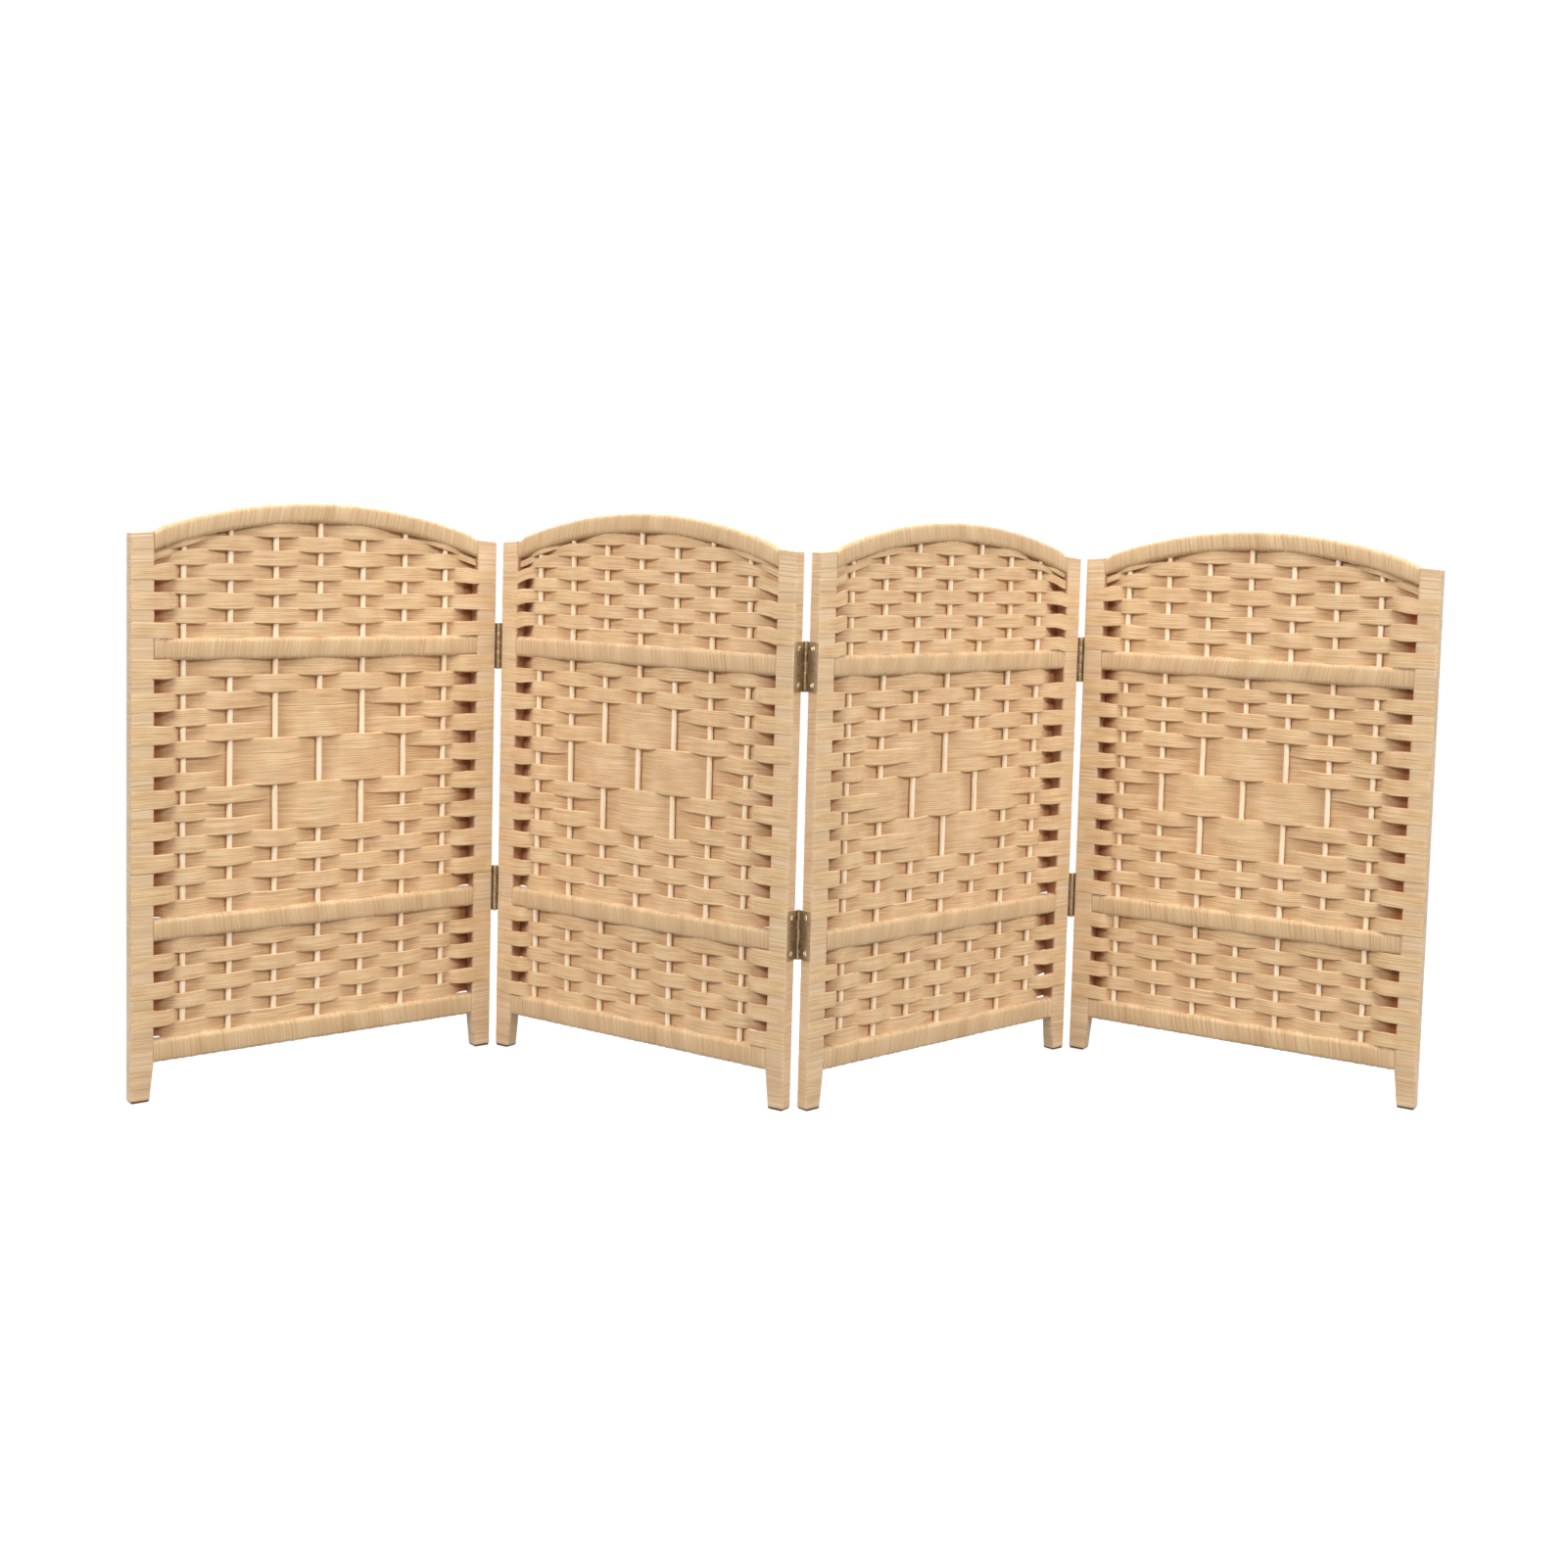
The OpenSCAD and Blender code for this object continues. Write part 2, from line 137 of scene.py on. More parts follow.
# The floor keeps the shadow of the feet, and fades away before its edge would show
floor_radius, fade_start, fade_end = 4, 0.75, 1.5
floor_grey, floor_glow = 0.25, 0.76
under_feet = -0.0003
floor_shape = bmesh.new()
bmesh.ops.create_circle(floor_shape, cap_ends=True, segments=64, radius=floor_radius)
bmesh.ops.translate(floor_shape, verts=floor_shape.verts, vec=(0, 0, under_feet))
floor_mesh = bpy.data.meshes.new("floor")
floor_shape.to_mesh(floor_mesh)
floor_shape.free()
floor_paint = bpy.data.materials.new("floor_paint")
floor_paint.use_nodes = True
floor_tree = floor_paint.node_tree
floor_tree.nodes.clear()
ground = add_node(floor_tree, "ShaderNodeTexCoord")
away = add_node(
    floor_tree, "ShaderNodeVectorMath", {0: ground.outputs["Object"]}, operation="LENGTH",
)
fade = add_node(
    floor_tree, "ShaderNodeMapRange",
    {"Value": away.outputs["Value"], "From Min": fade_start, "From Max": fade_end},
    interpolation_type="SMOOTHSTEP",
)
glow = add_node(
    floor_tree, "ShaderNodeMath", {0: seen_by_rays(floor_tree, "Is Glossy Ray"), 1: floor_glow},
    operation="MULTIPLY",
)
matt = add_node(
    floor_tree, "ShaderNodeBsdfPrincipled",
    {
        "Base Color": (floor_grey, floor_grey, floor_grey, 1),
        "Roughness": 0.9, "Specular IOR Level": 0.1,
        "Emission Color": (1, 1, 1, 1), "Emission Strength": glow.outputs[0],
    },
)
clear = add_node(floor_tree, "ShaderNodeBsdfTransparent")
blend = add_node(
    floor_tree, "ShaderNodeMixShader",
    {0: fade.outputs["Result"], 1: matt.outputs[0], 2: clear.outputs[0]},
)
add_node(floor_tree, "ShaderNodeOutputMaterial", {"Surface": blend.outputs[0]})
floor_mesh.materials.append(floor_paint)
floor = bpy.data.objects.new("floor", floor_mesh)
bpy.context.scene.collection.objects.link(floor)


# Stiles. Two square posts of dark stained timber hold each panel, and only the ends of their
# feet show below the paper that is wound round them. They are the solids of the model.
def tone(red, green, blue):
    """A colour written as it is seen, from 0 to 255."""
    return tuple(
        c / 12.92 if c <= 0.04045 else ((c + 0.055) / 1.055) ** 2.4
        for c in (red / 255, green / 255, blue / 255)
    ) + (1,)


fibre_scales = ("Along", "Across", "Patch", "Patch Weight")
# Noise seldom leaves this range, which is spread over all the colours
noise_low, noise_high = 0.32, 0.68


def fibre_group():
    """Fine lines along X that wander in strength, and wider patches of lighter and darker tone."""
    group = bpy.data.node_groups.new("fibre", "ShaderNodeTree")
    face = group.interface
    face.new_socket(name="Vector", in_out="INPUT", socket_type="NodeSocketVector")
    for name in fibre_scales:
        face.new_socket(name=name, in_out="INPUT", socket_type="NodeSocketFloat")
    for name in ("Tone", "Height"):
        face.new_socket(name=name, in_out="OUTPUT", socket_type="NodeSocketFloat")
    given = group.nodes.new("NodeGroupInput").outputs
    stretch = add_node(
        group, "ShaderNodeCombineXYZ",
        {0: given["Along"], 1: given["Across"], 2: given["Across"]},
    )
    stretched = add_node(
        group, "ShaderNodeVectorMath", {0: given["Vector"], 1: stretch.outputs[0]},
        operation="MULTIPLY",
    )
    lines = add_node(
        group, "ShaderNodeTexNoise",
        {"Vector": stretched.outputs[0], "Scale": 1.0, "Detail": 4.0, "Roughness": 0.6},
    )
    patches = add_node(
        group, "ShaderNodeTexNoise",
        {"Vector": given["Vector"], "Scale": given["Patch"], "Detail": 2.0, "Roughness": 0.5},
    )
    mixed = add_node(
        group, "ShaderNodeMix",
        {0: given["Patch Weight"], 2: lines.outputs[0], 3: patches.outputs[0]},
    )
    spread = add_node(
        group, "ShaderNodeMapRange",
        {"Value": mixed.outputs[0], "From Min": noise_low, "From Max": noise_high},
    )
    add_node(
        group, "NodeGroupOutput", {"Tone": spread.outputs["Result"], "Height": lines.outputs[0]},
    )
    return group


fibre = fibre_group()


def fibre_material(name, where, scales, colours, roughness, bump, painted_shade=None, **constants):
    """Fibres that run along the surface, in colours from dark to light.

    The scales are those of the fibre group, roughness is that of dark and of light fibres, and
    bump is their height in metres. The last colour, if given, is painted shade, mixed in as far
    as the mesh attribute for painted shade marks.
    """
    material = bpy.data.materials.new(name)
    material.use_nodes = True
    tree = material.node_tree
    tree.nodes.clear()
    coordinates = add_node(tree, "ShaderNodeTexCoord")
    vector = coordinates.outputs[where]
    if where == "Object":
        # Grain stands upright in a stile, so its length is laid along X
        parts = add_node(tree, "ShaderNodeSeparateXYZ", {0: vector})
        vector = add_node(
            tree, "ShaderNodeCombineXYZ",
            {0: parts.outputs["Z"], 1: parts.outputs["X"], 2: parts.outputs["Y"]},
        ).outputs[0]
    lines = add_node(
        tree, "ShaderNodeGroup", {"Vector": vector, **dict(zip(fibre_scales, scales))},
        node_tree=fibre,
    )
    ramp = add_node(tree, "ShaderNodeValToRGB", {"Fac": lines.outputs["Tone"]})
    darkest, *between, lightest = colours
    stops = ramp.color_ramp.elements
    stops[0].color, stops[1].color = darkest, lightest
    for n, shade in enumerate(between, 1):
        stops.new(n / (len(colours) - 1)).color = shade
    colour = ramp.outputs["Color"]
    # Painted shade: the darker colour is mixed in as far as the mesh attribute marks it
    if painted_shade:
        painted_shade_mask = add_node(tree, "ShaderNodeAttribute", attribute_name="painted_shade_mask")
        colour = add_node(
            tree, "ShaderNodeMix", {0: painted_shade_mask.outputs["Fac"], 6: colour, 7: painted_shade},
            data_type="RGBA",
        ).outputs[2]
    rough = add_node(
        tree, "ShaderNodeMapRange",
        {"Value": lines.outputs["Tone"], "To Min": roughness[0], "To Max": roughness[1]},
    )
    raised = add_node(
        tree, "ShaderNodeBump",
        {"Height": lines.outputs["Height"], "Distance": bump, "Strength": 1.0},
    )
    shader = add_node(
        tree, "ShaderNodeBsdfPrincipled",
        {
            "Base Color": colour,
            "Roughness": rough.outputs["Result"],
            "Normal": raised.outputs["Normal"],
            **constants,
        },
    )
    add_node(tree, "ShaderNodeOutputMaterial", {"Surface": shader.outputs[0]})
    return material


dark_timber = fibre_material(
    "dark_timber", "Object", scales=(30, 900, 40, 0.4),
    colours=[tone(66, 38, 24), tone(96, 58, 36), tone(128, 82, 54)],
    roughness=(0.75, 0.6), bump=0.0002,
)
panel_count = 4
for i in range(panel_count):
    for stile in ("left_stile", "right_stile"):
        solid = nodes[f"panel_{i + 1}_{stile}"]
        solid.data.materials.clear()
        solid.data.materials.append(dark_timber)


# Sticks. Seven thin round sticks of pale bamboo stand in each panel. They are pushed into
# holes of the bottom rail and the arched rail and run through the two rails between, and
# no two are quite straight. Sizes are in millimetres, in a panel's own width, depth and height.
millimetre = 0.001
panel_width, panel_depth = 400, 16
corner_height, arch_rise = 568, 40
arch_radius = ((panel_width / 2) ** 2 + arch_rise**2) / (2 * arch_rise)
arch_middle = corner_height + arch_rise - arch_radius
arch_rail = 21.5
# A straight rail is given by the height of its underside and its own height
bottom_rail, lower_rail, upper_rail = (38, 24.5), (162, 23), (445, 23)
stick_count, stick_inset, stick_shifts = 7, 57, (3, 4.5, 6.5, 5.5)
stick_radius, stick_play = 2.9, 0.08
stick_seat = 9
stick_pitch = (panel_width - 2 * stick_inset) / (stick_count - 1)
stick_places = [
    [stick_inset - shift + stick_pitch * n for n in range(stick_count)] for shift in stick_shifts
]


def arch_height(u, radius):
    """Height of a circle about the middle of the arch, at a place across the panel."""
    return arch_middle + math.sqrt(radius**2 - (u - panel_width / 2) ** 2)


def turned(heading, u, v):
    """A place across and behind the start of a panel, turned to the panel's heading."""
    return Vector((
        u * math.cos(heading) - v * math.sin(heading),
        u * math.sin(heading) + v * math.cos(heading),
    ))


# The panels stand in a zigzag, each turned about a hinge axis that lies in front of the slit
# (-1) or behind it (1)
folds = (108.3, 105.2, 106.6)
half_slit = 1.7
hinge_side = (-1, 1, -1)
hinge_depth = [-half_slit if side < 0 else panel_depth + half_slit for side in hinge_side]
headings = [0.0]
for fold, side in zip(folds, hinge_side):
    headings.append(headings[-1] + side * (math.pi - math.radians(fold)))
mean_heading = sum(headings) / panel_count
headings = [heading - mean_heading for heading in headings]
starts = [Vector((0, 0))]
for k in range(panel_count - 1):
    starts.append(
        starts[k] + turned(headings[k], panel_width + half_slit, hinge_depth[k])
        - turned(headings[k + 1], -half_slit, hinge_depth[k])
    )
outline = [
    starts[i] + turned(headings[i], u, v)
    for i in range(panel_count) for u in (0, panel_width) for v in (0, panel_depth)
]
middle = Vector([
    (min(point[axis] for point in outline) + max(point[axis] for point in outline)) / 2
    for axis in (0, 1)
])
in_panel = [
    Matrix.Scale(millimetre, 4)
    @ Matrix.Translation((starts[i] - middle).to_3d())
    @ Matrix.Rotation(headings[i], 4, "Z")
    for i in range(panel_count)
]


# Points nearer than this are made one
same_place = 0.0001


def wind(shape, along, around, point, flat, painted_shade=None):
    """Rolls a grid of along by around squares into a tube, and closes its two ends.

    point(a, b) is the place of row a and column b, flat(a, b) its place on the UV map, and
    the last function, if given, how much painted shade it gets, kept in a mesh attribute.
    """
    uv = shape.loops.layers.uv.verify()
    painted_shade_mask = shape.verts.layers.float.get("painted_shade_mask")
    if painted_shade and not painted_shade_mask:
        painted_shade_mask = shape.verts.layers.float.new("painted_shade_mask")
    grid = bmesh.ops.create_grid(shape, x_segments=along, y_segments=around, size=1)["verts"]
    spots = {
        vert: (round((vert.co.x + 1) * along / 2), round((vert.co.y + 1) * around / 2))
        for vert in grid
    }
    for vert in grid:
        a, b = spots[vert]
        for loop in vert.link_loops:
            loop[uv].uv = flat(a, b)
        vert.co = point(a, b % around)
        if painted_shade:
            vert[painted_shade_mask] = painted_shade(a, b % around)
    bmesh.ops.remove_doubles(shape, verts=grid, dist=same_place)
    ends = {edge for vert in grid if vert.is_valid for edge in vert.link_edges if edge.is_boundary}
    bmesh.ops.holes_fill(shape, edges=list(ends), sides=0)


def hand_over(shape, name, place, material, body, solid):
    """Turns a finished shape into a piece that rides on its body and stands for its solid."""
    bmesh.ops.transform(shape, matrix=place, verts=shape.verts)
    bmesh.ops.recalc_face_normals(shape, faces=shape.faces)
    for face in shape.faces:
        face.smooth = True
    mesh = bpy.data.meshes.new(name)
    shape.to_mesh(mesh)
    shape.free()
    mesh.materials.append(material)
    piece = bpy.data.objects.new(name, mesh)
    bpy.context.scene.collection.objects.link(piece)
    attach(piece, body)
    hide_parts(solid)


def drift(chance, size, shortest):
    """A smooth wander of the given size, in three waves from the shortest length up."""
    waves = [
        (math.tau / (shortest * stretch), chance.uniform(0, math.tau))
        for stretch in (1, 1.7, 3.1)
    ]
    height = size / len(waves)
    return lambda x: height * sum(math.sin(x * wave + phase) for wave, phase in waves)


pale_bamboo = fibre_material(
    "pale_bamboo", "UV", scales=(60, 1800, 30, 0.35),
    colours=[tone(240, 208, 166), tone(253, 232, 200), tone(255, 243, 220)],
    roughness=(0.5, 0.38), bump=0.00004, **{"Specular IOR Level": 0.4},
)
stick_rings, stick_sides = 60, 16
# Each stick lies elsewhere on the map, so that no two show the same fibres
stick_on_map = 37
chance = random.Random(11)
for i in range(panel_count):
    shape = bmesh.new()
    for u in stick_places[i]:
        foot = bottom_rail[0] + bottom_rail[1] - stick_seat
        top = arch_height(u, arch_radius - arch_rail) + stick_seat
        sway = drift(chance, size=0.35, shortest=120)
        girth = drift(chance, size=0.12, shortest=18)

        def stick_point(a, b):
            z = foot + (top - foot) * a / stick_rings
            angle = math.tau * b / stick_sides
            radius = stick_radius - stick_play + girth(z)
            v = panel_depth / 2 + radius * math.sin(angle)
            return Vector((u + sway(z) + radius * math.cos(angle), v, z))

        def stick_flat(a, b):
            length = (top - foot) * a / stick_rings + stick_on_map * u
            return length * millimetre, b / stick_sides * math.tau * stick_radius * millimetre

        wind(shape, stick_rings, stick_sides, stick_point, stick_flat)
    hand_over(
        shape, f"panel_{i + 1}_bamboo_sticks", in_panel[i], pale_bamboo,
        f"panel_{i + 1}", f"panel_{i + 1}_sticks",
    )


# Rails. The bottom rail, two middle rails and the arched top rail are timber, wound closely
# with flat strips of paper cord that run round them nearly upright. Each turn laps a little
# over the last, and the ends of the rails are tenoned into the stiles.
rail_depth, rail_edge, rail_play = 15, 5, 0.12
stile_width, tenon = 24, 0.8
arch_end_fall, arch_end_length = 3, 16
# A strip is a few cords wide. Each of them lies a little lower than the one before, up to a
# deeper groove where the next strip laps over the last cord
cord_width, cord_widths, cord_shoulders = 2.3, (0.8, 1.2), (0.3, 0.7)
cords_in_strip, lap_rise, lap_uneven = (2, 3, 4, 5, 6), 0.6, 0.08
cord_groove, strip_groove = 0.12, (0.4, 1.0)
corner_steps = 4


def rounded_ring(width, height, edge):
    """Corner centres and outward directions that go once round a rounded rectangle."""
    centres = [
        (width - edge, height - edge), (edge, height - edge), (edge, edge), (width - edge, edge)
    ]
    return [
        (x, y, math.cos(angle), math.sin(angle))
        for corner, (x, y) in enumerate(centres)
        for step in range(corner_steps + 1)
        for angle in [math.pi / 2 * (corner + step / corner_steps)]
    ]


def cord_turns(chance, length):
    """Places along a wound rail, as (distance, depth under the highest cord), three to a cord."""
    places, at = [], 0.0
    while at < length:
        cords = chance.choice(cords_in_strip)
        for cord in range(cords):
            width = cord_width * chance.uniform(*cord_widths)
            lap = lap_rise * cord / cords + chance.uniform(0, lap_uneven)
            groove = cord_groove if cord else chance.uniform(*strip_groove)
            places.append((at, lap + groove))
            places += [(at + width * shoulder, lap) for shoulder in cord_shoulders]
            at += width
    scale = length / at
    return [(distance * scale, depth) for distance, depth in places] + [(length, lap_rise)]


# Paper cord lets some light through, most of it red, and its fine fuzz shows pale at edges
thin_paper = {
    "Specular IOR Level": 0.35, "Subsurface Weight": 0.12,
    "Subsurface Radius": (1.0, 0.5, 0.25), "Subsurface Scale": 0.002,
    "Sheen Weight": 0.5, "Sheen Roughness": 0.5, "Sheen Tint": tone(255, 246, 228),
}
wound_paper = fibre_material(
    "wound_paper", "UV", scales=(30, 620, 42, 0.35),
    colours=[tone(184, 145, 100), tone(209, 175, 133), tone(226, 198, 158)],
    roughness=(0.6, 0.48), bump=0.00012, **thin_paper,
)
span = panel_width / 2 - stile_width + tenon
cord_slope, uneven_round = (3.0, 5.0), 9
# How far round the UV map a rail reaches, and what keeps rails of two heights apart on it
rail_girth, rail_on_map = 0.06, 0.37
rails = [
    ("bottom_rail", bottom_rail), ("lower_rail", lower_rail), ("upper_rail", upper_rail),
    ("top_arch", (None, arch_rail)),
]
chance = random.Random(23)
for i in range(panel_count):
    for rail, (floor_z, height) in rails:
        places = cord_turns(chance, 2 * span)
        section = rounded_ring(rail_depth, height, rail_edge)
        slope = chance.uniform(*cord_slope) * chance.choice((-1, 1))
        uneven = drift(chance, size=0.12, shortest=30)

        def rail_point(a, b):
            distance, depth = places[a]
            x, y, across, up = section[b]
            edge = rail_edge - depth - rail_play
            edge += uneven(distance + uneven_round * b / len(section))
            v = (panel_depth - rail_depth) / 2 + x + edge * across
            z = y + edge * up
            # From -1 to 1 along the rail. The turns lean, but stand upright at its ends
            way = distance / span - 1
            leaning = slope * (z / height - 0.5) * (1 if v < panel_depth / 2 else -1)
            way += leaning / span * (1 - way**4)
            if floor_z is not None:
                return Vector((panel_width / 2 + way * span, v, floor_z + z))
            from_end = span * (1 - abs(way))
            radius = arch_radius - arch_rail + z
            radius -= arch_end_fall * z / height * max(0, 1 - from_end / arch_end_length) ** 2
            angle = way * math.asin(span / radius)
            u = panel_width / 2 + radius * math.sin(angle)
            return Vector((u, v, arch_middle + radius * math.cos(angle)))

        def rail_flat(a, b):
            length = places[a][0] * millimetre + rail_on_map * height
            return b / len(section) * rail_girth, length

        shape = bmesh.new()
        wind(shape, len(places) - 1, len(section), rail_point, rail_flat)
        hand_over(
            shape, f"panel_{i + 1}_wound_{rail}", in_panel[i], wound_paper,
            f"panel_{i + 1}", f"panel_{i + 1}_{rail}",
        )


# Weave. Each field is woven from flat bands of seven paper cords that lie side by side. A
# band passes in front of one stick and behind the next and swells where it lies over a stick.
# At its ends it runs on over the front or the back of the stile and round the outer edge.
fields = ("upper", "middle", "lower")
band_rows = {"upper": (8, 9, 9, 8), "middle": (16, 17, 17, 18), "lower": (7, 7, 7, 7)}
starts_behind = {"upper": (0, 1, 0, 0), "middle": (1, 1, 1, 0), "lower": (1, 0, 1, 0)}
diamond_row = (4, 5, 6, 7)
diamond_turned = (False, False, True, False)
field_floor = {
    "upper": sum(upper_rail), "middle": sum(lower_rail), "lower": sum(bottom_rail),
}
# Under the ends of the arch the top band is the thinnest, and each one below gains a step
top_band, band_growth, clear_of_squeeze = 3.5, 1.9, 20
# The rows of the middle fields crowd towards the upper rail: the most that one is raised in
# each panel, and what brings the highest point of the curve to about 1
crowding, crowding_scale, crowding_end = (-1, 4.5, -1.5, 5.4), 1.45, 8
band_thickness, band_play = 1.5, 0.1
band_sway = stick_radius + band_play + band_thickness / 2
stile_edge, stile_sink = 3, 0.05
# A band is pulled thin where it lies on a stile
pull_start, pull_length, pull = 3, 5, 0.4
# From the last stick a band needs this share of the way to come out to the face of the stile,
# in front (1) or behind (-1)
stile_reach = {1: 0.92, -1: 0.62}
# One squeezed to less than this height goes into the side of the stile instead
thin_band, thin_to_full, hidden_sway = 6, 4, 2.5
posts = [[stile_width] + places + [panel_width - stile_width] for places in stick_places]
last_post = len(posts[0]) - 1


def stick_side(field, i, row, stick):
    """1 where a band passes in front of a stick, and -1 where it passes behind.

    In three rows of the middle field, three apart, a band passes some sticks on the same side
    as its neighbours do, and that draws the diamond.
    """
    down = band_rows[field][i] + 1 - row - diamond_row[i]
    if field == "middle" and down in (0, 3, 6):
        shows = abs(stick - 4) % 3 == (1 if down == 3 else 0)
        return 1 if shows != diamond_turned[i] else -1
    return -1 if (row + stick + starts_behind[field][i]) % 2 == 0 else 1


def stile_face(u):
    """How far the front of a stile stands before the middle of the panel, round its outer edge."""
    beyond = max(0, stile_edge - min(u, panel_width - u))
    return panel_depth / 2 - stile_edge + math.sqrt(stile_edge**2 - beyond**2)


def share(value, start, length):
    """0 up to the start, 1 from a length past it, and in proportion between."""
    return min(1, max(0, (value - start) / length))


def over_stile(u):
    """0 between the stiles and 1 where a band lies on one."""
    return share(stile_width + pull_start - min(u, panel_width - u), 0, pull_length)


def half_thickness(u):
    """Half a band's thickness, which is less where it lies on a stile."""
    return band_thickness / 2 * (1 - pull * over_stile(u))


def band_depth(field, i, row, u):
    """How far the middle of a band stands in front of the middle of the panel.

    At a stile a band lies over its front or back, but one squeezed thin goes into its side.
    """
    places = posts[i]
    stick = min(max(u, places[1]), places[-2])
    if u != stick:
        edge = stile_width if u < stick else panel_width - stile_width
        side = stick_side(field, i, row, 1 if u < stick else last_post - 1)
        way = min(1, (u - stick) / (stile_reach[side] * (edge - stick)))
        outer = stile_face(u) - stile_sink - half_thickness(u)
        height = row_line(field, i, row, edge) - row_line(field, i, row - 1, edge)
        outer = hidden_sway + (outer - hidden_sway) * share(height, thin_band, thin_to_full)
        return side * band_sway - side * (outer + band_sway) * (1 - math.cos(math.pi * way)) / 2
    post = min(max(n for n in range(len(places)) if places[n] <= u), last_post - 2)
    way = (u - places[post]) / (places[post + 1] - places[post])
    here, there = (band_sway * stick_side(field, i, row, n) for n in (post, post + 1))
    return here + (there - here) * (1 - math.cos(math.pi * way)) / 2


def field_top(field, u):
    """Height of the underside of the rail over a field."""
    u = min(max(u, stile_width), panel_width - stile_width)
    if field == "upper":
        return arch_height(u, arch_radius - arch_rail)
    return upper_rail[0] if field == "middle" else lower_rail[0]


def row_line(field, i, row, u):
    """Height of the line between a band and the next one up, with the kink at the arch eased."""
    rows = band_rows[field][i]
    low = field_floor[field]
    pitch = (field_top(field, panel_width / 2) - low) / rows
    even = low + pitch * row
    if field == "middle":
        way = row / rows
        even += crowding[i] * crowding_scale * way * (1 - way**crowding_end)
    squeezed = field_top(field, u)
    squeezed -= sum(min(pitch, top_band + band_growth * k) for k in range(rows - row))
    if row == rows or squeezed - even > clear_of_squeeze:
        return min(even, squeezed)
    return -math.log(math.exp(low - even) + math.exp(low - squeezed)) + low


cord_count, band_cord_widths, band_shoulders = 7, (0.7, 1.3), (0.27, 0.73)
cord_levels, groove_levels = (0.8, 1.0), (0.5, 0.75)


def band_section(chance):
    """Once round a band, as (height, thickness): uneven cords with grooves between them."""
    widths = [chance.uniform(*band_cord_widths) for _ in range(cord_count)]
    profile, at = [(0.0, 0.0)], 0.0
    for width in widths:
        width /= sum(widths)
        level = chance.uniform(*cord_levels)
        profile += [(at + shoulder * width, level) for shoulder in band_shoulders]
        profile.append((at + width, level * chance.uniform(*groove_levels)))
        at += width
    profile[-1] = (1.0, 0.0)
    return (
        [(rise, -thick) for rise, thick in profile[:-1]]
        + [(rise, thick) for rise, thick in reversed(profile[1:])]
    )


# How far a band passes the line to the next one: where the two lie level, where they part
# round a stick, and where they part on a stile
touching, swell, swell_rate, swell_power = 0.55, 1.0, 1.7, 1.3
stile_swell, stile_parting = 0.7, 0.8
# How much more it passes it where it lies behind, and on a stile where the line is steep
# under the arch, of which a band in front gets a share
hidden_cover, steep_cover, front_share = 1.0, 6, 0.4
# How far the middle of a band stands out over a stick, and its two ends turn in
bulge, end_turn = 0.15, 0.4
# How far the first and the last band are tucked under the rails, and what is left of that
# for each where they stand out past this depth to lie on the stiles
tucked, edge_tuck = 1.5, (0.2, 1.8)
on_stile, onto_stile = 4, 2
# Places across a panel where a band is measured: close together round the edge of the stile
over_edge = [0.8, 1.4, 2.2, 3.2, 6, 12, 18, 22, 25]
first_place, steps_between = 28, 80
band_places = (
    over_edge
    + [
        first_place + (panel_width - 2 * first_place) * n / steps_between
        for n in range(steps_between + 1)
    ]
    + [panel_width - u for u in reversed(over_edge)]
)
# How far round the UV map the face of a band reaches, and how far apart two rows lie on it
band_girth, band_on_map, band_round_map = 0.017, 0.61, 0.2
